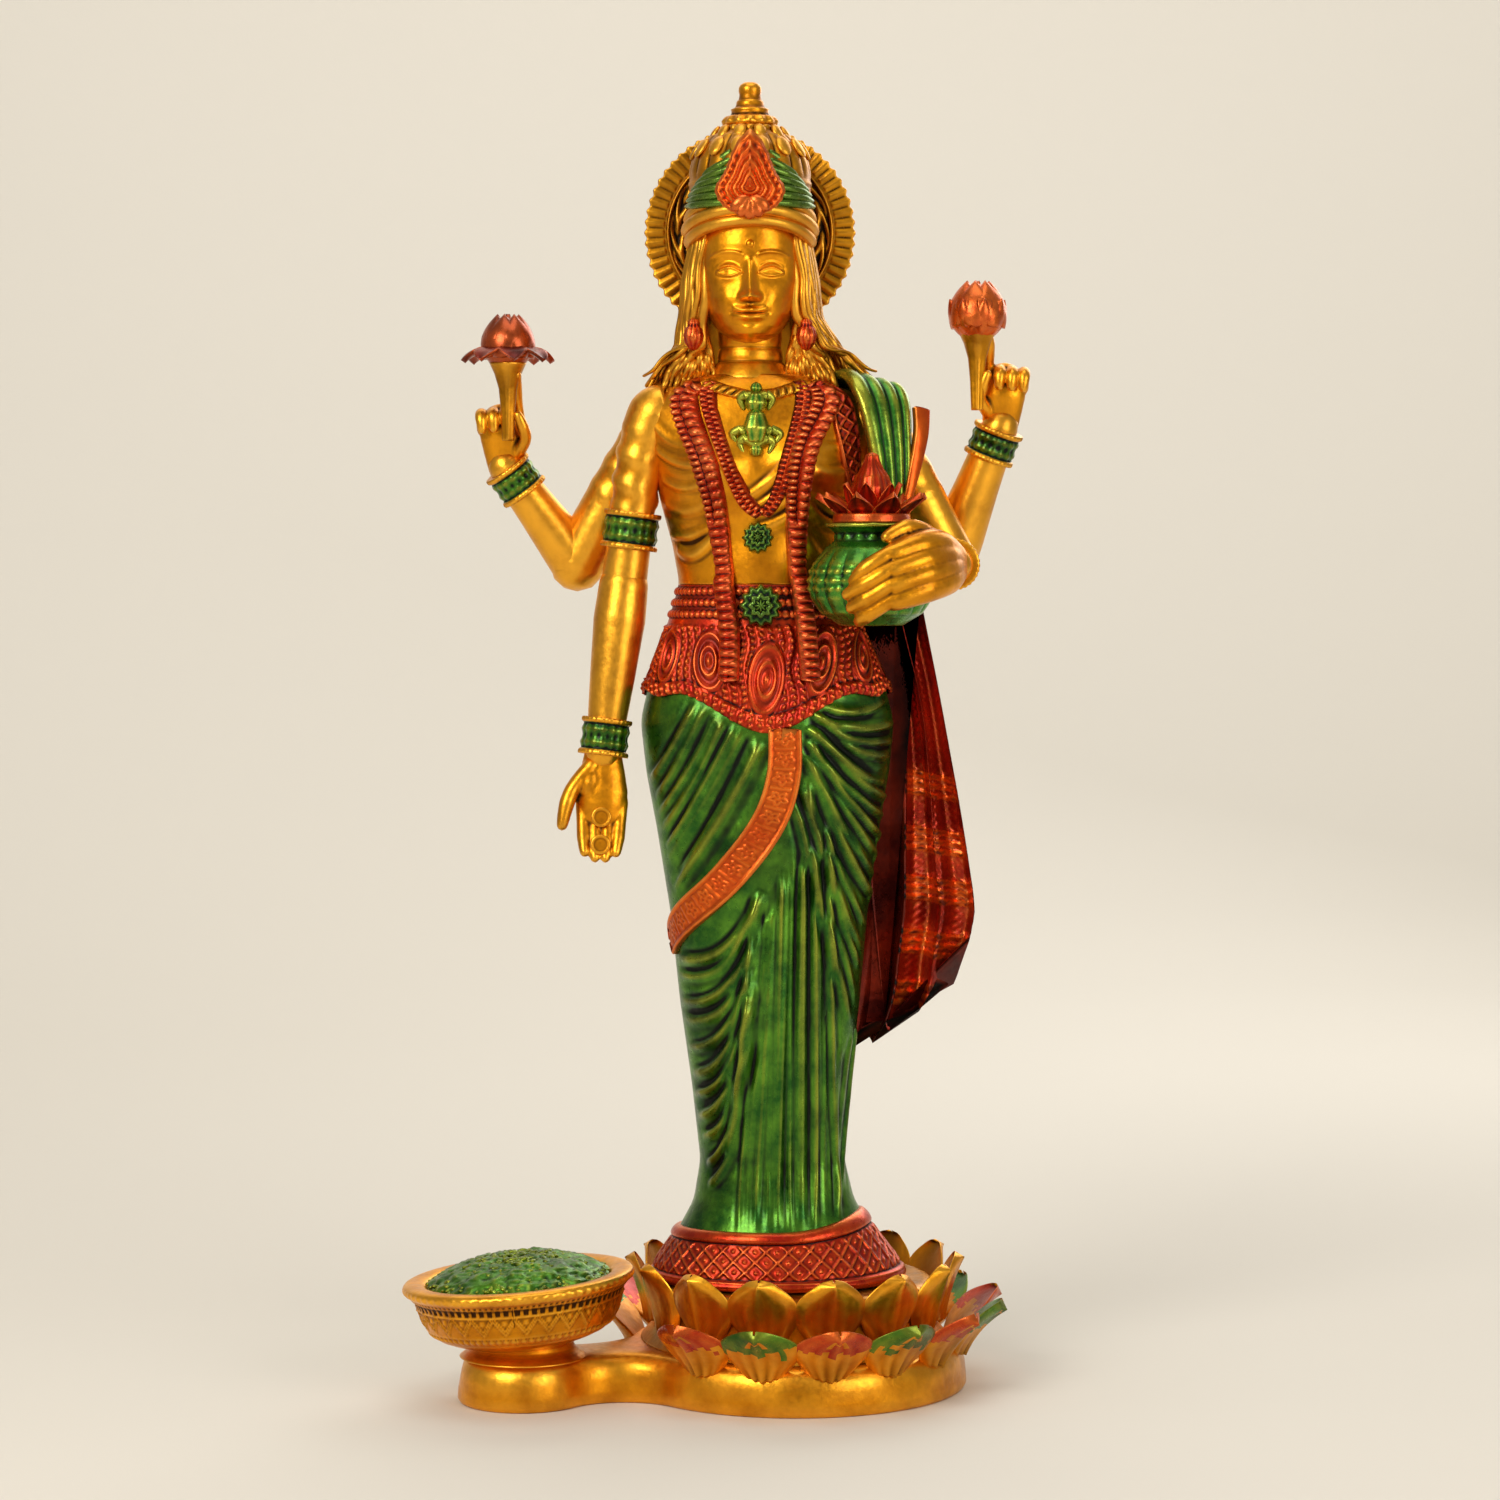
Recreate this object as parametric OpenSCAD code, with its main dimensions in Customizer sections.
// Standing four-armed goddess statue on a lotus plinth with an offering bowl.
// Cast in separate pieces that are dowelled and studded together.
// Millimetres, +Z up, the figure faces -Y. Origin: centre of the lotus plinth's underside.
// "right" and "left" are the figure's own, so her right hand is on the -X side.

/* [Plinth] */
// Radius of the round plinth under the lotus
plinth_r = 40; // [34:1:50]
// Height of the plinth
plinth_h = 11; // [9:0.5:14]
// Wall of the hollow plinth casting
plinth_wall = 4; // [3:0.5:5]
// Thickness of the plate that closes the plinth underneath
base_plate_t = 1.2; // [0.8:0.1:1.6]
// Radius of the plinth's lobe under the bowl
lobe_r = 15; // [12:1:20]
// Radius of the hollow fillets between plinth and lobe
bridge_r = 14; // [8:1:24]

/* [Lotus] */
// Height of the lotus seat above the plinth
seat_h = 14; // [12:0.5:18]
// Number of petals in the drooping lower ring
lower_petals = 16; // [12:1:18]
// Number of petals in the upright upper ring
upper_petals = 14; // [10:1:16]
// Length of a lower petal
lower_petal_l = 17; // [14:0.5:20]
// Length of an upper petal
upper_petal_l = 16; // [13:0.5:18]

/* [Offering bowl] */
// Angle by which the bowl stands in front of her right side, in degrees
bowl_angle = 17.9; // [5:0.1:25]
// How far the bowl's rim passes over the tips of the upper petals, in plan
rim_over = 1.2; // [0:0.1:2]
// Outer radius of the bowl's rim
bowl_r = 26.5; // [22:0.5:32]
// Height of the bowl from its neck to its rim
bowl_h = 16.5; // [15:0.5:24]
// Height of the bowl's foot above the plinth lobe
bowl_foot_h = 2; // [2:0.5:5]
// Wall of the bowl
bowl_wall = 3; // [2:0.5:4]
// Lean of the bowl away from the figure, in degrees
bowl_tilt = 4.5; // [0:0.5:6]
// Height of the heap of grain above the rim
heap_h = 5.5; // [4:0.5:11]

/* [Sari and body] */
// Height from the lotus seat to the waist
skirt_h = 161; // [130:1:195]
// Width of the skirt at the hem
hem_w = 57; // [48:1:60]
// Width of the skirt at the ankles
ankle_w = 33; // [30:1:40]
// Width of the skirt at the hips
hip_w = 58; // [52:1:66]
// Width of the body at the waist
waist_w = 38; // [33:1:44]
// Width of the body across the chest
chest_w = 49; // [44:1:56]
// Height from the waist to the pit of the neck
torso_h = 48; // [42:1:58]
// Depth of the skirt at the hips
hip_d = 37; // [30:1:42]
// Depth of the body at the chest
chest_d = 30; // [26:1:34]

/* [Head] */
// Length of the neck between collar and jaw
neck_l = 7; // [5:0.5:10]
// Radius of the neck
neck_r = 7; // [6:0.25:8]
// Width of the face
face_w = 23.5; // [21:0.5:26]
// Height of the face from chin to hairline
face_h = 28; // [25:0.5:31]
// Width of the hair
hair_w = 36; // [32:0.5:40]
// Radius of the halo behind the head
halo_r = 24.5; // [21:0.5:29]
// Thickness of the halo's plate
halo_t = 3; // [2:0.25:4]
// Height of the crown from brow band to the foot of its finial
crown_h = 22; // [18:0.5:27]
// Height of the crown's finial
finial_h = 10; // [7:0.5:13]

/* [Arms] */
// Radius of an arm at the elbow
elbow_r = 5.6; // [4.8:0.1:6.4]
// Radius of an arm at the wrist
wrist_r = 4; // [3.4:0.1:4.6]
// Length of a hand
hand_l = 18; // [15:0.5:21]
// Size of the open hand against the hands that hold flowers
open_hand_scale = 1.32; // [1:0.02:1.45]
// Radius of the coins in the open hand
coin_r = 2.3; // [1.8:0.1:2.8]
// Radius of the lotus flowers
flower_r = 8.2; // [7:0.2:10]

/* [Water pot] */
// Largest radius of the pot
pot_r = 14.4; // [12:0.2:17.4]
// Height of the pot's body
pot_h = 23; // [20:0.5:27]
// Height of the coconut on the pot
coconut_h = 14; // [11:0.5:17]

/* [Fastenings] */
// Diameter of the stud that holds the figure on the plinth
stud_d = 6; // [5:0.5:8]
// Diameter of the dowels at waist, neck, shoulders, bowl and halo
dowel_d = 4; // [3:0.25:5]
// Radial clearance of a stud or dowel in its hole
hole_gap = 0.05; // [0.02:0.01:0.1]
// Gap left between an ornament and the body that carries it
seat_gap = 0.05; // [0.03:0.01:0.15]

/* [Hidden] */

gold = "goldenrod";
green = "forestgreen";
red = "firebrick";
orange = "orangered";
steel = "silver";

round_fn = 72;
ring_n = 32;    // sides of a body section
limb_n = 12;    // sides of an arm section
small_n = 8;    // sides of a finger or petal

// ---- heights, worked up from the ground ----
seat_z = plinth_h + seat_h;
waist_z = seat_z + skirt_h;
shoulder_z = waist_z + torso_h * 0.86;
collar_z = waist_z + torso_h;
chin_z = collar_z + neck_l;
brow_z = chin_z + face_h;
finial_z = brow_z + crown_h;

// ---- body sections: height, half width, half depth, middle in x ----
body_rows = [
    [seat_z, hem_w / 2, hip_d * 0.60, -4],
    [seat_z + skirt_h * 0.02, hem_w / 2 - 0.3, hip_d * 0.59, -4],
    [seat_z + skirt_h * 0.06, hem_w * 0.41, hip_d * 0.49, -4.3],
    [seat_z + skirt_h * 0.11, ankle_w * 0.56, hip_d * 0.41, -4.8],
    [seat_z + skirt_h * 0.17, ankle_w / 2, hip_d * 0.37, -5.2],
    [seat_z + skirt_h * 0.28, ankle_w * 0.55, hip_d * 0.38, -5.5],
    [seat_z + skirt_h * 0.40, hip_w * 0.355, hip_d * 0.41, -5.8],
    [seat_z + skirt_h * 0.53, hip_w * 0.39, hip_d * 0.44, -6],
    [seat_z + skirt_h * 0.65, hip_w * 0.44, hip_d * 0.47, -6.2],
    [seat_z + skirt_h * 0.73, hip_w * 0.48, hip_d * 0.495, -6.3],
    [seat_z + skirt_h * 0.80, hip_w / 2, hip_d / 2, -6.4],
    [seat_z + skirt_h * 0.86, hip_w * 0.475, hip_d * 0.475, -6.6],
    [seat_z + skirt_h * 0.92, hip_w * 0.405, hip_d * 0.415, -7],
    [waist_z, waist_w / 2, chest_d * 0.43, -7.6],
    [waist_z + torso_h * 0.20, waist_w * 0.54, chest_d * 0.45, -7.8],
    [waist_z + torso_h * 0.40, chest_w * 0.47, chest_d / 2, -8],
    [waist_z + torso_h * 0.58, chest_w / 2, chest_d / 2, -8.2],
    [waist_z + torso_h * 0.74, chest_w * 0.565, chest_d * 0.45, -8.4],
    [waist_z + torso_h * 0.86, chest_w * 0.55, chest_d * 0.39, -8.7],
    [waist_z + torso_h * 0.94, chest_w * 0.42, chest_d * 0.34, -9],
    [collar_z, neck_r * 1.6, neck_r * 1.2, -9.4]
];
half_w_table = [for (r = body_rows) [r[0], r[1]]];
half_d_table = [for (r = body_rows) [r[0], r[2]]];
mid_x_table = [for (r = body_rows) [r[0], r[3]]];

function half_w(z) = lookup(z, half_w_table);
function half_d(z) = lookup(z, half_d_table);
function mid_x(z) = lookup(z, mid_x_table);
function lerp(a, b, t) = a + (b - a) * t;

// A point on the body at height z and angle a (0 in front, 90 at her left), raised by off
function on_body(z, a, off = 0) = [
    mid_x(z) + (half_w(z) + off) * sin(a),
    -(half_d(z) + off) * cos(a),
    z
];
function body_ring(z, off = 0) = [for (i = [0:ring_n - 1]) on_body(z, 360 * i / ring_n, off)];

head_x = mid_x(collar_z) - 1;

// ---- solids swept from rings of points ----
// Every ring runs anticlockwise seen from the end it is swept towards
module skin(rings) {
    n = len(rings[0]);
    last = (len(rings) - 1) * n;
    polyhedron(
        points = [for (r = rings) each r],
        faces = concat(
            [[for (i = [0:n - 1]) i]],
            [[for (i = [n - 1:-1:0]) last + i]],
            [for (k = [0:len(rings) - 2]) for (i = [0:n - 1])
                let (a = k * n + i, b = k * n + (i + 1) % n) each [[a, a + n, b + n], [a, b + n, b]]]
        )
    );
}

function unit(v) = v / norm(v);
// Directions along a path of points
function heading(pts, i) = unit(pts[min(i + 1, len(pts) - 1)] - pts[max(i - 1, 0)]);
function side_of(d, up) = unit(cross(up, d));
function ring_at(c, d, up, rx, ry, n) =
    let (u = side_of(d, up), v = cross(d, u))
    [for (i = [0:n - 1]) c + rx * cos(360 * i / n) * u + ry * sin(360 * i / n) * v];

// The body between two heights, grown by grow, to cut what lies on it
module body_cutter(low, high, grow = seat_gap) {
    between = [for (r = body_rows) if (r[0] > low + 0.5 && r[0] < high - 0.5) r[0]];
    skin([for (z = concat([low], between, [high])) body_ring(z, grow)]);
}

// A strip that lies on the body along route, a list of [height, angle, lift off the body]
module body_strip(route, width, thick) {
    last = len(route) - 1;
    pts = [for (r = route) on_body(r[0], r[1], r[2] - 0.3)];
    skin([for (i = [0:last])
        let (
            c = pts[i],
            d = heading(pts, i),
            out = unit([sin(route[i][1]), -cos(route[i][1]), 0]),
            s = unit(cross(out, d)),
            o = unit(cross(d, s)) * (thick + 0.3)
        )
        [c + s * width / 2, c + s * width / 2 + o, c - s * width / 2 + o, c - s * width / 2]
    ]);
}

// A shell on the body from height low(a) up to height high(a) at each angle a
module body_sleeve(low, high, thick, steps = 4) {
    angles = [for (i = [0:ring_n - 1]) 360 * i / ring_n];
    difference() {
        skin([for (k = [0:steps])
            [for (a = angles) on_body(lerp(low(a), high(a), k / steps), a, seat_gap + thick)]]);
        body_cutter(min([for (a = angles) low(a)]) - 3, max([for (a = angles) high(a)]) + 1);
    }
}

// ---- lotus sizes, which place the bowl ----
seat_r_low = plinth_r - 4;
seat_r_top = plinth_r - 8;
lower_ring_r = plinth_r - 2.4;
petal_t = 2.6;
lower_lean = 38;
upper_lean = 14;
lower_curl = 22;
upper_curl = 20;
upper_ring_r = seat_r_top + petal_t / 2 * cos(upper_lean) + seat_gap;
lower_tip_r = lower_ring_r + lower_petal_l * sin(lower_lean + lower_curl / 2);
upper_tip_r = upper_ring_r + upper_petal_l * sin(upper_lean + upper_curl / 2);

// ---- plinth ----
bowl_dir = 180 + bowl_angle;
bowl_at = (upper_tip_r + bowl_r - rim_over) * [cos(bowl_dir), sin(bowl_dir)];
function shortest(a, b) = (b - a + 540) % 360 - 180;
function arc(c, r, a0, sweep, n) =
    [for (i = [0:n]) let (a = a0 + sweep * i / n) c + r * [cos(a), sin(a)]];

// Outline of the plinth and its lobe, drawn in by inset
function plinth_outline(inset) =
    let (
        r = plinth_r - inset,
        s = lobe_r - inset,
        f = bridge_r + inset,
        d = norm(bowl_at),
        open = acos(((r + f) ^ 2 + d ^ 2 - (s + f) ^ 2) / (2 * d * (r + f))),
        f1 = (r + f) * [cos(bowl_dir + open), sin(bowl_dir + open)],
        f2 = (r + f) * [cos(bowl_dir - open), sin(bowl_dir - open)],
        b1 = atan2(f1[1] - bowl_at[1], f1[0] - bowl_at[0]),
        b2 = atan2(f2[1] - bowl_at[1], f2[0] - bowl_at[0])
    )
    concat(
        arc([0, 0], r, bowl_dir + open, 360 - 2 * open, 48),
        arc(f2, f, bowl_dir - open + 180, shortest(bowl_dir - open + 180, b2 + 180), 8),
        arc(bowl_at, s, b2, (b1 - b2 + 720) % 360, 24),
        arc(f1, f, b1 + 180, shortest(b1 + 180, bowl_dir + open + 180), 8)
    );

nut_w = stud_d * 1.7;
nut_t = stud_d * 0.5;
washer_r = stud_d * 1.05;
washer_t = 1;
floor_z = plinth_h - plinth_wall;
figure_axis = [mid_x(seat_z), 0];

// Sheet let into the underside, flush with it, that closes the hollow
module base_plate() {
    color(gold) linear_extrude(base_plate_t) polygon(plinth_outline(plinth_wall + hole_gap));
}

module plinth() {
    color(gold) difference() {
        linear_extrude(plinth_h) polygon(plinth_outline(0));
        translate([0, 0, -1]) linear_extrude(floor_z + 1) polygon(plinth_outline(plinth_wall));
        translate([figure_axis[0], 0, -1])
            cylinder(h = plinth_h + 2, r = stud_d / 2 + hole_gap, $fn = round_fn);
        bowl_dowel(hole_gap, 1);
    }
}

// ---- lotus ----
module lotus_seat() {
    color(gold) difference() {
        translate([0, 0, plinth_h]) rotate_extrude($fn = round_fn) polygon([
            [0, 0], [seat_r_low, 0], [seat_r_top, seat_h * 0.3],
            [seat_r_top, seat_h - 1], [seat_r_top - 1, seat_h], [0, seat_h]
        ]);
        translate([figure_axis[0], 0, plinth_h - 1])
            cylinder(h = seat_h + 2, r = stud_d / 2 + hole_gap, $fn = round_fn);
    }
}

// One petal from its foot at [foot_r, z] leaning out by lean degrees, with its tip curling out by curl
module petal(foot_r, z, length, width, thick, lean, curl) {
    steps = 6;
    skin([for (k = [0:steps])
        let (
            t = k / steps,
            a = lean + curl * t,
            along = length * t,
            w = width / 2 * (0.55 + 0.45 * sin(180 * min(1, t * 1.15) - 20)) * sqrt(max(0.02, 1 - t ^ 4)),
            c = [foot_r + along * sin(lean + curl * t / 2), 0, z + along * cos(lean + curl * t / 2)]
        )
        [for (i = [0:small_n - 1])
            let (q = 360 * i / small_n)
            c + [cos(a), 0, -sin(a)] * thick / 2 * cos(q) * (1 - t * 0.5) + [0, w * sin(q), 0]]
    ]);
}

// Children once for each of count places round the lotus, but for those that the bowl fills
module ring_of(count, tip_r) {
    for (i = [0:count - 1]) {
        a = 360 * (i + 0.5) / count - 90;
        if (norm(tip_r * [cos(a), sin(a)] - bowl_at) > bowl_r + 3.5) rotate([0, 0, a]) children();
    }
}

lower_petal_w = 2 * PI * lower_ring_r / lower_petals;
upper_petal_w = 2 * PI * upper_ring_r / upper_petals;

module lower_petals_ring() {
    z = plinth_h + petal_t / 2 * sin(lower_lean) + seat_gap;
    color(gold) ring_of(lower_petals, lower_tip_r)
        petal(lower_ring_r, z, lower_petal_l, lower_petal_w, petal_t, lower_lean, lower_curl);
}

module upper_petals_ring() {
    color(gold) ring_of(upper_petals, 0)
        petal(upper_ring_r, plinth_h + seat_h * 0.35, upper_petal_l, upper_petal_w,
              petal_t, upper_lean, upper_curl);
}

// ---- offering bowl ----
neck_of_bowl_r = lobe_r * 0.72;
bowl_floor_h = 3;
dowel_l = 8;
bowl_z = plinth_h + bowl_foot_h + seat_gap;

// The dowel through the plinth and foot into the bowl's floor, grown for its hole
module bowl_dowel(grow = 0, longer = 0) {
    low = floor_z + 0.2 - longer;
    translate([bowl_at[0], bowl_at[1], low])
        cylinder(h = bowl_z + bowl_floor_h * 0.6 + grow - low, r = dowel_d / 2 + grow, $fn = round_fn);
}

module at_bowl(z) {
    translate([bowl_at[0], bowl_at[1], z]) rotate([0, -bowl_tilt, 0]) children();
}

module bowl_foot() {
    color(gold) difference() {
        translate([bowl_at[0], bowl_at[1], plinth_h + seat_gap]) rotate_extrude($fn = round_fn) polygon([
            [0, 0], [lobe_r - 1, 0], [neck_of_bowl_r + 1, bowl_foot_h * 0.5],
            [neck_of_bowl_r, bowl_foot_h + 1.2], [0, bowl_foot_h + 1.2]
        ]);
        at_bowl(plinth_h + bowl_foot_h) cylinder(h = 9, r = lobe_r * 1.5, $fn = round_fn);
        bowl_dowel(hole_gap, 1);
    }
}

bowl_outer = [
    [neck_of_bowl_r, 0], [neck_of_bowl_r + 1, 1], [bowl_r * 0.72, bowl_h * 0.2],
    [bowl_r * 0.84, bowl_h * 0.42], [bowl_r * 0.9, bowl_h * 0.66], [bowl_r * 0.93, bowl_h * 0.82],
    [bowl_r - 0.4, bowl_h * 0.86], [bowl_r, bowl_h * 0.92], [bowl_r - 0.6, bowl_h]
];
bowl_mouth_r = bowl_r - bowl_wall;
bowl_inner = [
    [bowl_mouth_r, bowl_h], [bowl_mouth_r - 2, bowl_h * 0.6], [bowl_mouth_r * 0.6, bowl_floor_h + 2],
    [0, bowl_floor_h]
];

module offering_bowl() {
    color(gold) difference() {
        at_bowl(bowl_z) rotate_extrude($fn = round_fn) polygon(concat([[0, 0]], bowl_outer, bowl_inner));
        bowl_dowel(hole_gap, 1);
    }
}

module grain_heap() {
    color(green) at_bowl(bowl_z) rotate_extrude($fn = round_fn) polygon(concat(
        [[0, bowl_floor_h + seat_gap], [bowl_mouth_r * 0.6 - seat_gap, bowl_floor_h + 2 + seat_gap],
         [bowl_mouth_r - 2 - seat_gap, bowl_h * 0.6], [bowl_mouth_r - seat_gap, bowl_h]],
        [for (i = [1:12]) let (a = 90 * i / 12)
            [(bowl_mouth_r - seat_gap) * cos(a), bowl_h + heap_h * sin(a) ^ 1.5]]
    ));
}

// ---- skirt and what lies on it ----
stud_in_skirt = 26;

module skirt() {
    rows = [for (r = body_rows) if (r[0] <= waist_z) r];
    color(green) difference() {
        skin([for (r = rows) body_ring(r[0])]);
        translate([figure_axis[0], 0, seat_z - 1])
            cylinder(h = stud_in_skirt + 1, r = stud_d / 2 + hole_gap, $fn = round_fn);
        translate([mid_x(waist_z), 0, waist_z - dowel_l])
            cylinder(h = dowel_l + 1, r = dowel_d / 2 + hole_gap, $fn = round_fn);
    }
}

hem_h = skirt_h * 0.075;
hem_t = 1.2;

module hem_border() {
    low = function (a) seat_z + seat_gap;
    high = function (a) seat_z + hem_h + 3.5 * max(0, sin(a)) ^ 2;
    color(red) body_sleeve(low, high, hem_t);
}

girdle_low_z = waist_z - skirt_h * 0.155;
girdle_t = 1.8;
girdle_dip = 8;

// The girdle's lower edge dips to a point in front
function girdle_edge(a) = girdle_low_z - girdle_dip * max(0, cos(a)) ^ 6 - 1.5 * abs(sin(a)) ^ 4;

module girdle() {
    low = function (a) girdle_edge(a);
    high = function (a) waist_z - seat_gap;
    color(red) body_sleeve(low, high, girdle_t, 5);
}

sash_w = 6.4;
sash_t = 1.4;
sash_top = girdle_edge(0) - sash_w * 0.4;
sash_end = seat_z + skirt_h * 0.51;

module sari_sash() {
    n = 16;
    color(orange) difference() {
        body_strip(
            [for (i = [0:n]) let (t = i / n) [lerp(sash_top, sash_end, t ^ 0.85), 9 - 84 * t ^ 2.1, 0]],
            sash_w, sash_t
        );
        body_cutter(sash_end - 12, sash_top + 8);
    }
}

// The loose end of the sari hangs from her left elbow beside the skirt
shawl_drop = skirt_h * 0.66;
shawl_t = 9;
shawl_top_z = waist_z - 2;

function shawl_row(t) = let (
        z = shawl_top_z - shawl_drop * t,
        inner = mid_x(z) + half_w(z) + 0.4 + (z > girdle_low_z - 6 ? girdle_t : 0),
        outer = mid_x(waist_z) + waist_w / 2 + 18 + 14 * t - 26 * max(0, t - 0.78)
    ) [z, inner, max(outer, inner + 6)];

module side_shawl() {
    steps = 10;
    color("darkred") skin([for (k = [steps:-1:0])
        let (r = shawl_row(k / steps), w = (r[2] - r[1]) / 2, c = (r[2] + r[1]) / 2)
        [for (i = [0:15]) let (q = 360 * i / 16)
            [c + w * sin(q), 2 - shawl_t / 2 * cos(q) * (1 - 0.25 * (1 - k / steps)), r[0]]]
    ]);
}

// ---- torso and what lies on it ----
module torso() {
    rows = [for (r = body_rows) if (r[0] >= waist_z) r];
    color(gold) difference() {
        skin([for (r = rows) body_ring(r[0])]);
        translate([mid_x(waist_z), 0, waist_z - 1])
            cylinder(h = dowel_l + 1, r = dowel_d / 2 + hole_gap, $fn = round_fn);
        neck_dowel(hole_gap);
        arm_dowel_set(hole_gap);
    }
}

cloth_t = 1.6;

// Cuts what is worn on the torso to the shape of what lies under it
module lie_on_torso() {
    difference() {
        children();
        body_cutter(waist_z - 2, collar_z + 1);
    }
}

// Pleated end of the sari over her left shoulder, running down in front to the arm
module shoulder_drape() {
    n = 10;
    color(green) difference() {
        lie_on_torso() body_strip(
            [for (i = [0:n]) let (t = i / n) [waist_z + torso_h * lerp(0.9, 0.42, t), 64.5 - t, 0]],
            11, cloth_t
        );
        upper_arm_cutter(left_shoulder, left_elbow);
    }
}

module drape_border() {
    n = 10;
    border_w = 3.1;
    color(red) lie_on_torso() body_strip(
        [for (i = [0:n]) let (t = i / n) [waist_z + torso_h * lerp(0.88, 0.44, t), 41 - 2 * t, 0]],
        border_w, cloth_t
    );
}

collar_a = 50;
collar_t = 1.2;

module collar_band(grow = 0) {
    n = 16;
    body_strip(
        [for (i = [0:n]) let (t = 2 * i / n - 1)
            [waist_z + torso_h * (0.94 + 0.03 * t ^ 2), -4 + collar_a * t, 0]],
        2.8 + grow * 2, collar_t + grow
    );
}

module collar() {
    color(gold) lie_on_torso() collar_band();
}

module pendant() {
    z = waist_z + torso_h * 0.84;
    color(green) for (k = [0, 1])
        translate(on_body(z - k * 5.6, -3, 2.1 + k * 0.6)) sphere(1.9 + k * 0.6, $fn = 24);
}

garland_w = 4;
garland_t = 3;

// How far something is lifted by the girdle at height z
function girdle_lift(z) = (girdle_t + seat_gap) * max(0, min(1, (waist_z + 4 - z) / 4));

module long_garland() {
    n = 18;
    foot_z = girdle_edge(25) + garland_w;
    top_z = waist_z + torso_h * 0.88;
    color(red) difference() {
        union() for (side = [-1, 1]) body_strip(
            [for (i = [0:n]) let (t = i / n, z = lerp(top_z, foot_z, t))
                [z, side * lerp(34, 20, min(1, t * 2.2) ^ 0.7) - 2, girdle_lift(z)]],
            garland_w, garland_t
        );
        body_cutter(foot_z - 6, collar_z + 1);
        body_cutter(foot_z - 6, waist_z - seat_gap, girdle_t + seat_gap * 2);
    }
}

module short_garland() {
    n = 12;
    color(red) lie_on_torso() union() for (side = [-1, 1]) body_strip(
        [for (i = [0:n]) let (t = i / n)
            [waist_z + torso_h * lerp(0.88, 0.42, t), side * lerp(23, 3.6, t ^ 0.9) - 3, 0]],
        2.6, 1.8
    );
}

module rosette(z, r) {
    p = on_body(z, -2, 0.5 + (z < waist_z ? girdle_t + 0.8 : 0));
    translate(p) rotate([90, 0, 0]) rotate_extrude($fn = round_fn)
        polygon([[0, 0], [r, 0], [r * 0.9, 1.2], [r * 0.5, 2], [r * 0.4, 3], [0, 3.2]]);
}

module rosettes() {
    color(green) {
        rosette(waist_z + torso_h * 0.22, 3.4);
        rosette(waist_z - torso_h * 0.10, 4.6);
    }
}

// ---- neck, head and headdress ----
head_d = face_w * 1.12;

neck_top = chin_z + face_h * 0.3;
neck_foot_r = neck_r * 1.35;

// The neck runs up into the head, grown by grow for its socket
module neck_solid(grow = 0) {
    translate([head_x, 0, collar_z + seat_gap]) rotate_extrude($fn = round_fn) polygon([
        [0, 0], [neck_foot_r + grow, 0], [neck_r * 1.05 + grow, neck_l * 0.4], [neck_r + grow, neck_l * 0.8],
        [neck_r + grow, neck_top - collar_z], [0, neck_top - collar_z]
    ]);
}

// The dowel through the neck, grown for its hole
module neck_dowel(grow = 0) {
    translate([head_x, -1.5, collar_z - dowel_l + 0.5 - grow])
        cylinder(h = neck_top - collar_z + dowel_l + 4.5 + grow * 2, r = dowel_d / 2 + grow, $fn = round_fn);
}

module neck() {
    color(gold) difference() {
        neck_solid();
        neck_dowel(hole_gap);
    }
}

// Sections of the head from the jaw up: share of face height, share of width, shift forwards
head_rows = [
    [0.00, 0.30, 0.26], [0.04, 0.46, 0.24], [0.14, 0.66, 0.20], [0.32, 0.86, 0.15],
    [0.52, 0.98, 0.12], [0.72, 1.00, 0.10], [0.88, 0.96, 0.07], [1.00, 0.90, 0.03]
];
head_low = chin_z + seat_gap * 2;

// One section of the head, grown sideways by grow
function head_ring(r, grow, z) = [for (i = [0:23]) let (q = 360 * i / 24) [
    head_x + (face_w / 2 * r[1] + grow) * sin(q),
    -head_d * (r[2] + 0.07) - (head_d * 0.36 * r[1] + grow) * cos(q),
    z
]];

module head() {
    color(gold) difference() {
        skin([for (r = head_rows) head_ring(r, 0, head_low + (face_h - seat_gap * 2) * r[0])]);
        neck_solid(hole_gap);
        neck_dowel(hole_gap);
    }
}

hair_back = 10.5;
hair_y = 3.2;
// Height, share of the hair's width and share of its depth
hair_rows = [
    [collar_z + seat_gap * 2, 1, 0.85], [chin_z - 1, 0.94, 0.9], [chin_z + face_h * 0.25, 0.94, 1],
    [chin_z + face_h * 0.6, 0.98, 1], [brow_z - seat_gap, 0.88, 0.9]
];

// The hair wraps the sides and back of the head and falls behind the shoulders
module hair() {
    color(gold) difference() {
        skin([for (r = hair_rows)
            [for (i = [0:23]) let (q = 360 * i / 24)
                [head_x + hair_w / 2 * r[1] * sin(q), hair_y - hair_back * r[2] * cos(q), r[0]]]
        ]);
        skin(concat(
            [for (r = head_rows) head_ring(r, seat_gap + 0.1, chin_z + face_h * r[0] - 0.1)],
            [head_ring(head_rows[7], seat_gap + 0.1, brow_z + 1)]
        ));
        neck_solid(hole_gap);
        translate([head_x, 0, collar_z - 1]) cylinder(h = neck_l, r = neck_foot_r + 0.5, $fn = round_fn);
        translate([head_x, hair_y + hair_back - 4, halo_pin_z]) rotate([-90, 0, 0])
            cylinder(h = 12, r = halo_pin_r + hole_gap, $fn = round_fn);
    }
}

crown_r = face_w * 0.66;

crown_y = 1 - head_d * 0.1;
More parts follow.
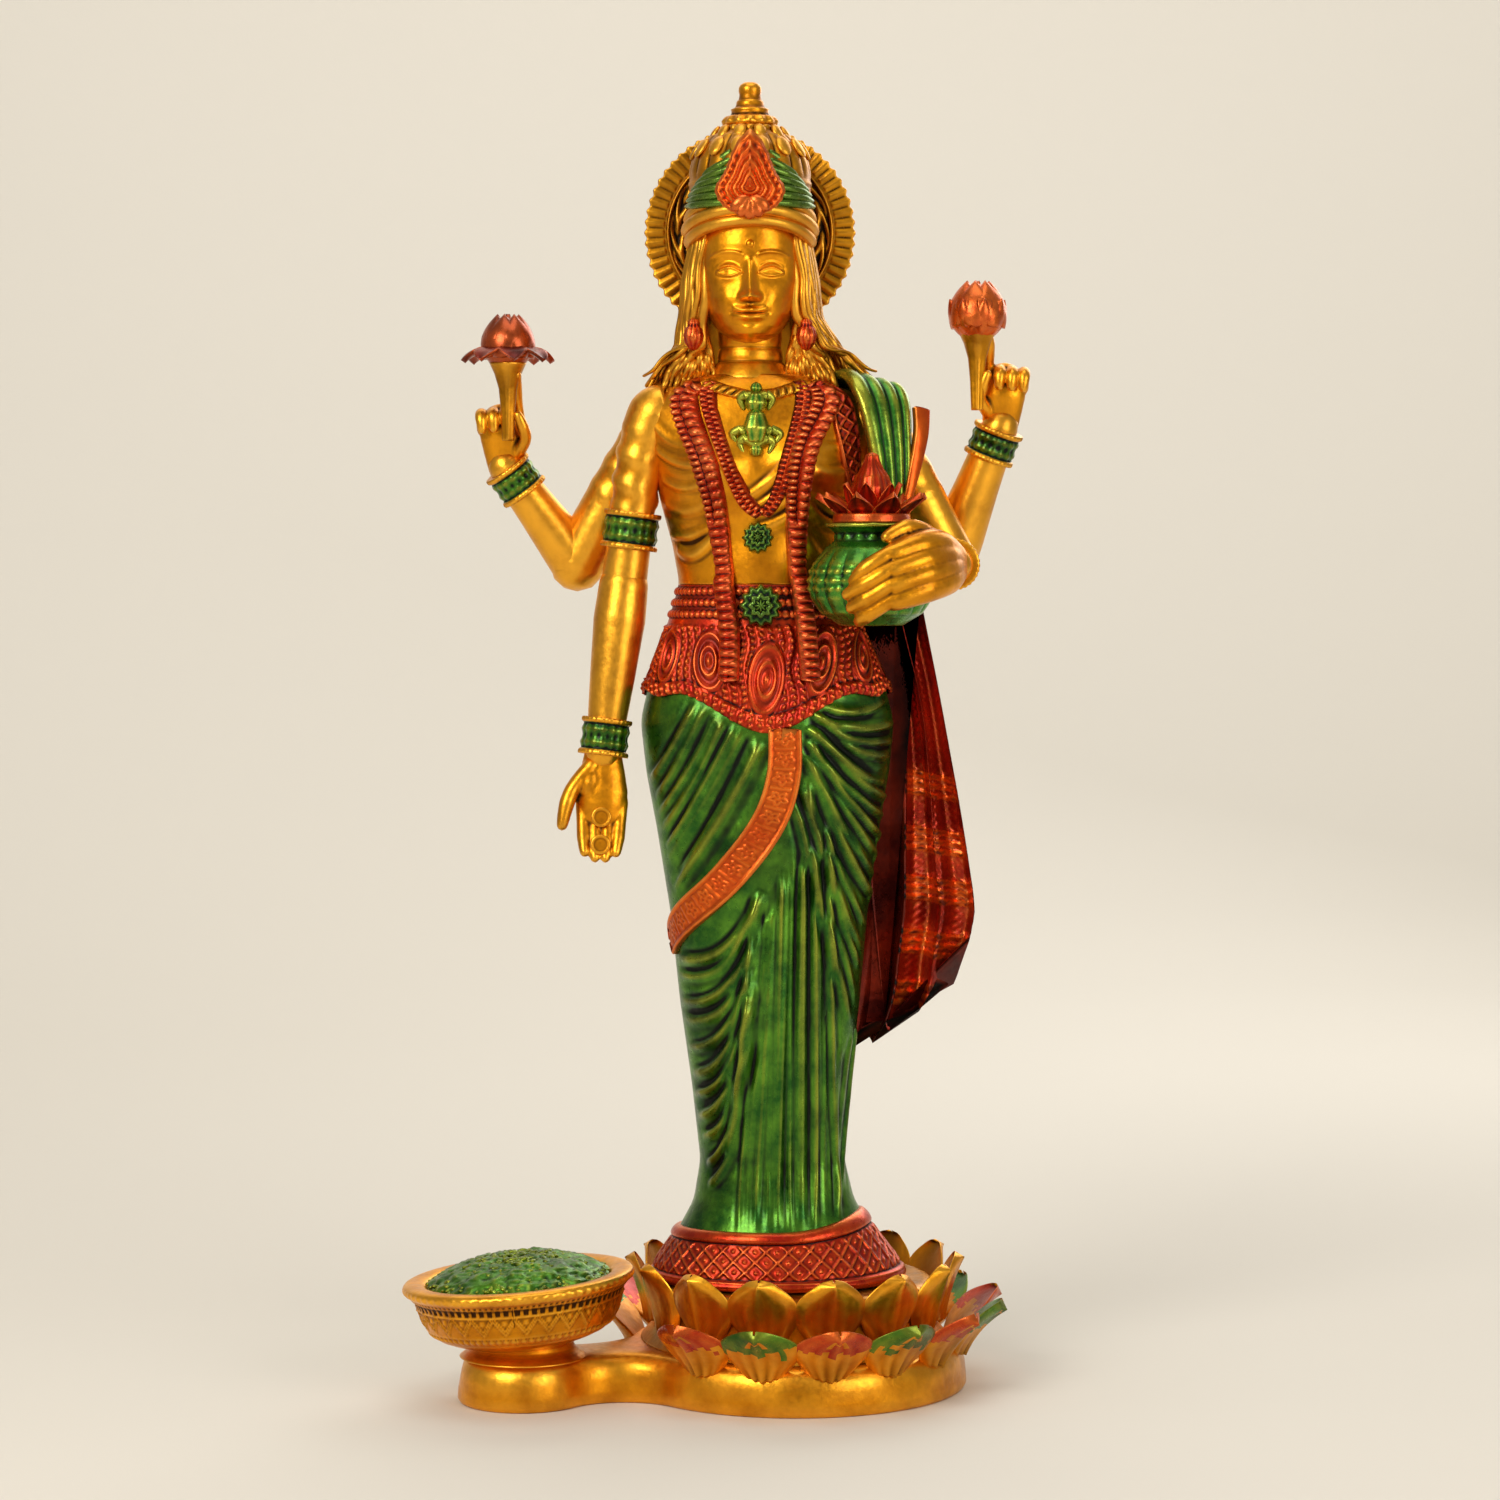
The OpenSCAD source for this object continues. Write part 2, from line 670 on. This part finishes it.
// Height above the brow and radius of the crown
crown_rows = [
    [0, crown_r * 0.92], [crown_h * 0.05, crown_r], [crown_h * 0.11, crown_r * 0.95],
    [crown_h * 0.17, crown_r * 0.98], [crown_h * 0.25, crown_r * 0.92], [crown_h * 0.4, crown_r * 0.9],
    [crown_h * 0.62, crown_r * 0.78], [crown_h * 0.78, crown_r * 0.6], [crown_h * 0.9, crown_r * 0.48],
    [crown_h - seat_gap, crown_r * 0.4]
];

module crown() {
    color(gold) translate([head_x, crown_y, brow_z + seat_gap]) rotate_extrude($fn = round_fn)
        polygon(concat([[0, 0]], [for (r = crown_rows) [r[1], r[0]]], [[0, crown_h - seat_gap]]));
}

jewel_w = 16.5;
jewel_h = 21;

// Pointed plaque on the front of the crown
module crown_jewel() {
    y = crown_y - crown_r - seat_gap * 2;
    outline = concat(
        arc([0, jewel_h * 0.36], jewel_w / 2, 180, 180, 16),
        [[jewel_w * 0.34, jewel_h * 0.66], [0, jewel_h], [-jewel_w * 0.34, jewel_h * 0.66]]
    );
    color(red) translate([head_x, y, brow_z - 3]) rotate([90, 0, 0]) linear_extrude(2.4) polygon(outline);
}

// Leaf-shaped plates on the sides of the crown
module crown_wings() {
    rows = [for (t = [0.28, 0.4, 0.52, 0.62]) [lookup(crown_h * t, crown_rows) + seat_gap * 3, crown_h * t]];
    color(green) for (side = [-1, 1])
        translate([head_x, crown_y, brow_z + seat_gap]) rotate([0, 0, -90 + side * 52 - 13])
            rotate_extrude(angle = 26, $fn = round_fn)
                polygon(concat([for (r = rows) [r[0] + 1.6, r[1]]], [for (k = [3:-1:0]) rows[k]]));
}

module finial() {
    r = crown_r * 0.4;
    color(gold) translate([head_x, crown_y, finial_z + seat_gap]) rotate_extrude($fn = round_fn) polygon([
        [0, 0], [r, 0], [r * 0.72, finial_h * 0.22], [r * 0.62, finial_h * 0.3], [r * 0.42, finial_h * 0.5],
        [r * 0.36, finial_h * 0.66], [r * 0.44, finial_h * 0.8], [r * 0.34, finial_h * 0.94], [0, finial_h]
    ]);
}

halo_z = chin_z + face_h * 0.96;
halo_y = hair_y + hair_back + seat_gap;
halo_band = halo_r * 0.24;
halo_pin_r = dowel_d * 0.4;
// The pin sits below the crown, a little under the middle of the halo
halo_pin_z = chin_z + face_h * 0.88;

module at_halo() {
    translate([head_x, halo_y + halo_t, halo_z]) rotate([90, 0, 0]) children();
}

module halo() {
    color(gold) at_halo() difference() {
        cylinder(h = halo_t, r = halo_r - halo_band, $fn = round_fn);
        translate([0, halo_pin_z - halo_z, -1])
            cylinder(h = halo_t + 2, r = halo_pin_r + hole_gap, $fn = round_fn);
    }
}

module halo_rim() {
    teeth = 48;
    color(gold) at_halo() difference() {
        linear_extrude(halo_t) polygon([for (i = [0:teeth * 2 - 1])
            (halo_r - (i % 2) * 0.7) * [cos(180 * i / teeth), sin(180 * i / teeth)]]);
        translate([0, 0, -1])
            cylinder(h = halo_t + 2, r = halo_r - halo_band + seat_gap, $fn = round_fn);
    }
}

earring_x = face_w / 2 + 1.6;
earring_r = 2.4;
earring_y = hair_y - hair_back * 0.92 * sqrt(1 - (earring_x / hair_w / 0.47) ^ 2) - earring_r - 0.45;

module earrings() {
    color(red) for (side = [-1, 1])
        translate([head_x + side * earring_x, earring_y, chin_z + face_h * 0.02]) rotate_extrude($fn = 36)
            polygon([[0, -2.4], [1.6, -1.6], [earring_r, 0.4], [2, 2.4], [1, 4], [0.6, 5.2], [0, 5.4]]);
}

// ---- arms: each is given by shoulder, elbow and wrist, measured from the shoulder line ----
pot_at = [
    mid_x(waist_z) + waist_w / 2 + pot_r * 0.39,
    -half_d(waist_z) * 0.42 - pot_r - 1.4,
    waist_z - pot_h * 0.40
];
shoulder_line = [mid_x(shoulder_z), 0, shoulder_z];
shoulder_out = half_w(shoulder_z) + elbow_r * 0.3;
right_shoulder = shoulder_line + [-shoulder_out + 2.8, -1, -3.3];
right_elbow = right_shoulder + [-5, 0, -37.7];
right_wrist = right_elbow + [-4.8, -3, -39.5];
right_back_shoulder = shoulder_line + [-shoulder_out + 4.6, 8.5, -3.6];
right_back_elbow = right_back_shoulder + [-18.1, 5, -32.9];
right_back_wrist = right_back_elbow + [-16.5, -5, 22.5];
left_shoulder = shoulder_line + [shoulder_out, -1, -5];
left_elbow = left_shoulder + [17, 2, -32];
left_wrist = pot_at + [pot_r + wrist_r + 0.4, 2.8, pot_h * 0.6];
left_back_shoulder = shoulder_line + [shoulder_out - 2.6, 8.5, -3.2];
left_back_elbow = left_back_shoulder + [18.6, 6, -33.3];
left_back_wrist = left_back_elbow + [12, -6, 32];
joint_gap = 0.2;
elbow_hollow = 1.12;    // share of the elbow's radius that the forearm is hollowed to
arm_dowel_l = 11;

// Dowels from the torso into the four shoulders, grown for their holes
module arm_dowel_set(grow = 0) {
    r = dowel_d * 0.375 + grow;
    for (p = [right_shoulder, left_shoulder]) {
        side = sign(p[0] - shoulder_line[0]);
        translate(p + [side - side * arm_dowel_l, 0, 0]) rotate([0, 90 * side, 0])
            translate([0, 0, -grow]) cylinder(h = arm_dowel_l + grow * 2, r = r, $fn = round_fn);
    }
    for (p = [right_back_shoulder, left_back_shoulder])
        translate([p[0], 2.2 - grow, p[2]]) rotate([-90, 0, 0])
            cylinder(h = 7 + grow * 2, r = r, $fn = round_fn);
}

function limb_ring(c, d, r) = ring_at(c, d, [0, 1, 0], r, r, limb_n);

// An upper arm starts as a domed shoulder cap
module upper_arm(a, b, r) {
    d = unit(b - a);
    skin(concat(
        [for (q = [75, 50, 25]) limb_ring(a - d * r * sin(q), d, r * cos(q))],
        [for (t = [0, 0.3, 0.6, 1]) limb_ring(lerp(a, b - d * joint_gap, t), d, lerp(r, elbow_r, t))]
    ));
}

// A forearm starts as a domed elbow
module forearm(elbow, wrist, into) {
    d = unit(wrist - elbow);
    difference() {
        skin(concat(
            [for (q = [75, 50, 25]) limb_ring(elbow - d * elbow_r * sin(q), d, elbow_r * cos(q))],
            [for (t = [0, 0.3, 0.6, 1])
                limb_ring(lerp(elbow, wrist - d * joint_gap, t), d, lerp(elbow_r, wrist_r, t))]
        ));
        // hollow for the end of the upper arm
        skin([for (t = [-0.02, 1.3])
            limb_ring(lerp(elbow, into, t), unit(into - elbow), elbow_r * elbow_hollow)]);
    }
}

upper_arm_r = elbow_r + 0.4;

module right_upper_arm() {
    color(gold) difference() {
        upper_arm(right_shoulder, right_elbow, upper_arm_r);
        torso_cutter();
        arm_dowel_set(hole_gap);
    }
}

module torso_cutter() {
    rows = [for (r = body_rows) if (r[0] >= waist_z) r];
    skin([for (r = rows) body_ring(r[0], seat_gap)]);
}

module right_forearm() {
    color(gold) forearm(right_elbow, right_wrist, right_shoulder);
}

// A band round an arm at share t between a and b
module band(a, b, t, r, width, thick) {
    d = unit(b - a);
    c = lerp(a, b, t);
    out = r + thick;
    waist = r + thick * 0.7;
    translate(c) rotate([0, acos(d[2]), atan2(d[1], d[0])]) rotate_extrude($fn = round_fn) polygon([
        [r + seat_gap, -width / 2], [out, -width / 2], [out, -width / 4], [waist, -width / 8],
        [waist, width / 8], [out, width / 4], [out, width / 2], [r + seat_gap, width / 2]
    ]);
}

module right_armlet() {
    color(green) band(right_shoulder, right_elbow, 0.68, lerp(upper_arm_r, elbow_r, 0.6), 6, 1.2);
}

module right_bangle() {
    color(green) band(right_elbow, right_wrist, 0.9, lerp(elbow_r, wrist_r, 0.82), 8, 1.4);
}

module right_back_upper_arm() {
    color(gold) difference() {
        upper_arm(right_back_shoulder, right_back_elbow, upper_arm_r);
        torso_cutter();
        arm_dowel_set(hole_gap);
        upper_arm_cutter(right_shoulder, right_elbow);
    }
}

module upper_arm_cutter(a, b) {
    skin([for (t = [-0.3, 1.1]) limb_ring(lerp(a, b, t), unit(b - a), upper_arm_r + seat_gap)]);
}

module right_back_forearm() {
    color(gold) forearm(right_back_elbow, right_back_wrist, right_back_shoulder);
}

module right_back_bangle() {
    color(green) band(right_back_elbow, right_back_wrist, 0.86, lerp(elbow_r, wrist_r, 0.78), 7, 1.4);
}

module left_upper_arm() {
    color(gold) difference() {
        upper_arm(left_shoulder, left_elbow, upper_arm_r);
        torso_cutter();
        arm_dowel_set(hole_gap);
    }
}

module left_forearm() {
    color(gold) forearm(left_elbow, left_wrist, left_shoulder);
}

module left_bangle() {
    color(green) band(left_elbow, left_wrist, 0.82, lerp(elbow_r, wrist_r, 0.74), 4, 1.2);
}

module left_back_upper_arm() {
    color(gold) difference() {
        upper_arm(left_back_shoulder, left_back_elbow, upper_arm_r);
        torso_cutter();
        arm_dowel_set(hole_gap);
        upper_arm_cutter(left_shoulder, left_elbow);
    }
}

module left_back_forearm() {
    color(gold) difference() {
        forearm(left_back_elbow, left_back_wrist, left_back_shoulder);
        translate(left_elbow) sphere(elbow_r + seat_gap, $fn = 12);
    }
}

module left_back_bangle() {
    color(green) band(left_back_elbow, left_back_wrist, 0.87, lerp(elbow_r, wrist_r, 0.79), 7, 1.4);
}

// ---- hands: a palm and five fingers, each finger a pair of hulls ----
finger_r = hand_l * 0.066;

// A finger from a through b to c
module finger(a, b, c, r = finger_r) {
    hull() {
        translate(a) sphere(r * 1.15, $fn = small_n);
        translate(b) sphere(r, $fn = small_n);
    }
    hull() {
        translate(b) sphere(r, $fn = small_n);
        translate(c) sphere(r * 0.8, $fn = small_n);
    }
}

// A palm from the wrist along +Z, width w in x and thickness t in y
module palm(w, t, length) {
    hull() {
        translate([0, 0, wrist_r * 0.6]) scale([1, 0.8, 1]) sphere(wrist_r * 0.9, $fn = 12);
        translate([-w * 0.32, 0, length]) sphere(t * 0.42, $fn = small_n);
        translate([w * 0.32, 0, length]) sphere(t * 0.42, $fn = small_n);
    }
}

// An open hand with its fingers together, along +Z from the wrist, palm towards -Y, thumb towards -X
module open_hand() {
    w = hand_l * 0.55;
    palm_l = hand_l * 0.5;
    palm(w, hand_l * 0.26, palm_l);
    for (k = [0:3]) {
        x = (k - 1.5) * w * 0.24;
        tip = hand_l * (0.92 - 0.05 * abs(k - 1.4));
        bend = palm_l + (tip - palm_l) * 0.5;
        finger([x, 0, palm_l], [x * 0.95, -0.4, bend], [x * 0.85, -1.6, tip - finger_r]);
    }
    finger([-w * 0.3, -0.6, palm_l * 0.35], [-w * 0.62, -1.6, palm_l * 0.8], [-w * 0.66, -2, palm_l * 1.25]);
}

// A hand whose fingers close on a flower's stem, along +Z from the wrist, palm towards -Y
module holding_hand(thumb) {
    w = hand_l * 0.5;
    palm_l = hand_l * 0.48;
    palm(w, hand_l * 0.3, palm_l);
    for (k = [0:3]) {
        x = thumb * (1.5 - k) * w * 0.26;
        reach = k == 0 ? 4 : 1.5;
        finger([x, 0.5, palm_l], [x, -2, palm_l + 2.5 + reach / 2], [x, -4.6, palm_l + reach]);
    }
    finger([thumb * w * 0.35, -1, palm_l * 0.4], [thumb * w * 0.5, -3.4, palm_l * 0.9],
           [thumb * w * 0.34, -4.4, palm_l * 1.3]);
}

// Stands children, drawn along +Z with their front towards -Y, at point p along direction d
module along(p, d, front = [0, -1, 0]) {
    z = unit(d);
    x = unit(cross(-front, z));
    y = cross(z, x);
    multmatrix([[x[0], y[0], z[0], p[0]], [x[1], y[1], z[1], p[1]], [x[2], y[2], z[2], p[2]]]) children();
}

hand_start = 0.25;
coin_t = 1;

right_hand_dir = unit([-0.02, -0.12, -1]);

// The hand that hangs down is larger than those that hold flowers
open_hand_l = hand_l * open_hand_scale;
// Share along the hand and share of its length in front of its middle, for each coin
coin_places = [[0.60, 0.085], [0.84, 0.118]];

// Coins lying in the right palm, grown for their seats
module coin_stack(grow = 0) {
    for (c = coin_places)
        along(right_wrist + right_hand_dir * open_hand_l * c[0], right_hand_dir)
            translate([0, grow - open_hand_l * c[1], 0]) rotate([90, 0, 0])
                cylinder(h = coin_t + grow, r = coin_r + grow, $fn = round_fn);
}

// What is cut off a hand where its forearm ends
module wrist_cutter(at, d, h = 8, r = 9) {
    along(at, d) translate([0, 0, -h]) cylinder(h = h + hand_start, r = r, $fn = 24);
}

module right_hand() {
    color(gold) difference() {
        along(right_wrist + right_hand_dir * hand_start, right_hand_dir)
            scale([-open_hand_scale, open_hand_scale, open_hand_scale]) open_hand();
        wrist_cutter(right_wrist, right_hand_dir);
        coin_stack(seat_gap);
    }
}

module coins() {
    color(gold) coin_stack();
}

right_back_dir = unit([-0.1, -0.1, 1]);
left_back_dir = unit([0.08, -0.1, 1]);

module right_back_hand() {
    color(gold) difference() {
        along(right_back_wrist + right_back_dir * hand_start, right_back_dir) holding_hand(1);
        flower_stem(right_flower_at, seat_gap);
        wrist_cutter(right_back_wrist, unit(right_back_wrist - right_back_elbow));
    }
}

module left_back_hand() {
    color(gold) difference() {
        along(left_back_wrist + left_back_dir * hand_start, left_back_dir) holding_hand(-1);
        flower_stem(left_flower_at, seat_gap);
        wrist_cutter(left_back_wrist, unit(left_back_wrist - left_back_elbow));
    }
}

// A point on the pot at angle a and height share t, raised by off
function on_pot(a, t, off) =
    let (r = pot_r * (1 - 1.1 * (t - 0.45) ^ 2) + off)
    pot_at + [r * cos(a), r * sin(a), pot_h * t];

// The hand laid over the front of the pot
module left_hand() {
    lift = finger_r * 1.2;
    color(gold) difference() {
        union() {
            hull() {
                translate(left_wrist + [-0.6, -wrist_r * 0.6, 0]) sphere(wrist_r * 0.9, $fn = 12);
                translate(on_pot(-38, 0.78, lift)) sphere(finger_r * 1.4, $fn = small_n);
                translate(on_pot(-38, 0.42, lift)) sphere(finger_r * 1.4, $fn = small_n);
            }
            for (k = [0:3])
                finger(on_pot(-40, 0.77 - 0.115 * k, lift), on_pot(-72, 0.66 - 0.125 * k, lift),
                       on_pot(-104 + 5 * abs(k - 1.3), 0.52 - 0.12 * k, lift));
            finger(on_pot(-16, 0.80, lift), on_pot(-36, 0.88, lift), on_pot(-62, 0.82, lift));
        }
        translate(pot_at) pot_solid(seat_gap);
        wrist_cutter(left_wrist, left_wrist - left_elbow);
    }
}

// ---- lotus flowers ----
right_flower_at = right_back_wrist + right_back_dir * hand_l * 0.72 + [2.2, -4, 9];
left_flower_at = left_back_wrist + left_back_dir * hand_l * 0.72 + [-6.8, -4, 6.5];
stem_r = 1.5;
stem_l = 16;

module flower_stem(at, grow = 0) {
    translate(at - [0, 0, stem_l]) cylinder(h = stem_l, r = stem_r + grow, $fn = 36);
}

module flower(at) {
    flower_stem(at);
    translate(at) {
        rotate_extrude($fn = round_fn) polygon([
            [0, 0], [stem_r, 0], [flower_r * 0.6, 1.6], [flower_r * 0.86, 4.2], [flower_r * 0.84, 7],
            [flower_r * 0.6, 9.8], [0, 11.4]
        ]);
        for (i = [0:7]) rotate([0, 0, 45 * i]) translate([flower_r * 0.78, 0, 5])
            scale([0.6, 1, 1.4]) sphere(flower_r * 0.36, $fn = 16);
    }
}

module right_flower() {
    color(red) flower(right_flower_at);
}

module left_flower() {
    color(red) flower(left_flower_at);
}

// ---- water pot with mango leaves and a coconut ----
pot_neck_r = pot_r * 0.58;
pot_rim_r = pot_r * 0.72;
leaf_bed_h = 2;
leaf_l = 9;

function pot_outline(grow) = [
    [0, 0], [pot_r * 0.5 + grow, 0], [pot_r * 0.82 + grow, pot_h * 0.14], [pot_r + grow, pot_h * 0.4],
    [pot_r * 0.94 + grow, pot_h * 0.62], [pot_r * 0.7 + grow, pot_h * 0.8], [pot_neck_r + grow, pot_h * 0.86],
    [pot_neck_r + grow, pot_h * 0.92], [pot_rim_r + grow, pot_h * 0.97], [pot_rim_r + grow, pot_h], [0, pot_h]
];

module pot_solid(grow = 0) {
    rotate_extrude($fn = round_fn) polygon(pot_outline(grow));
}

module water_pot() {
    color(green) translate(pot_at) pot_solid();
}

module pot_leaves() {
    color(red) translate(pot_at + [0, 0, pot_h + seat_gap]) {
        cylinder(h = leaf_bed_h, r1 = pot_rim_r * 0.7, r2 = pot_rim_r * 0.8, $fn = round_fn);
        for (i = [0:7]) rotate([0, 0, 45 * i]) translate([pot_rim_r * 0.52, 0, 1]) rotate([0, 28, 0])
            scale([0.3, 0.62, 1]) cylinder(h = leaf_l, r1 = 4.4, r2 = 1, $fn = 24);
    }
}

module coconut() {
    h = coconut_h;
    color(red) translate(pot_at + [0, 0, pot_h + leaf_bed_h + seat_gap * 2]) rotate_extrude($fn = round_fn)
        polygon([
            [0, 0], [3, 0], [3.6, h * 0.2], [3.8, h * 0.42], [3.4, h * 0.62], [2.2, h * 0.78], [1.4, h * 0.9],
            [0.7, h * 0.98], [0, h]
        ]);
}

// ---- fastenings ----
stud_low = floor_z - washer_t - nut_t - 0.6;

module figure_stud() {
    color(steel) translate([figure_axis[0], 0, stud_low])
        cylinder(h = seat_z + stud_in_skirt - 1 - stud_low, r = stud_d / 2, $fn = round_fn);
}

module stud_nut() {
    color(steel) translate([figure_axis[0], 0, floor_z - washer_t - nut_t]) difference() {
        cylinder(h = nut_t - seat_gap, r = nut_w / 2 / cos(30), $fn = 6);
        translate([0, 0, -1]) cylinder(h = nut_t + 2, r = stud_d / 2 + hole_gap / 2, $fn = round_fn);
    }
}

module stud_washer() {
    color(steel) translate([figure_axis[0], 0, floor_z - washer_t]) difference() {
        cylinder(h = washer_t - seat_gap, r = washer_r, $fn = round_fn);
        translate([0, 0, -1]) cylinder(h = washer_t + 2, r = stud_d / 2 + hole_gap, $fn = round_fn);
    }
}

module dowels() {
    color(steel) {
        translate([mid_x(waist_z), 0, waist_z - dowel_l + 0.5])
            cylinder(h = dowel_l * 2 - 1, r = dowel_d / 2, $fn = round_fn);
        neck_dowel();
        bowl_dowel();
    }
}

module arm_dowels() {
    color(steel) arm_dowel_set();
}

module halo_pin() {
    color(steel) translate([head_x, halo_y - 3.6, halo_pin_z]) rotate([-90, 0, 0])
        cylinder(h = halo_t + 3.4, r = halo_pin_r, $fn = round_fn);
}

base_plate();
plinth();
lotus_seat();
lower_petals_ring();  // lower_petals
upper_petals_ring();  // upper_petals
bowl_foot();
offering_bowl();
grain_heap();
skirt();
hem_border();
sari_sash();
girdle();
side_shawl();
torso();
shoulder_drape();
drape_border();
collar();
pendant();
long_garland();
short_garland();
rosettes();
neck();
head();
hair();
crown();
crown_jewel();
crown_wings();
finial();
halo();
halo_rim();
earrings();
right_upper_arm();
right_forearm();
right_hand();
right_armlet();
right_bangle();
coins();
right_back_upper_arm();
right_back_forearm();
right_back_hand();
right_back_bangle();
right_flower();
left_upper_arm();
left_forearm();
left_hand();
left_bangle();
left_back_upper_arm();
left_back_forearm();
left_back_hand();
left_back_bangle();
left_flower();
water_pot();
pot_leaves();
coconut();
figure_stud();
stud_nut();
stud_washer();
dowels();
arm_dowels();
halo_pin();
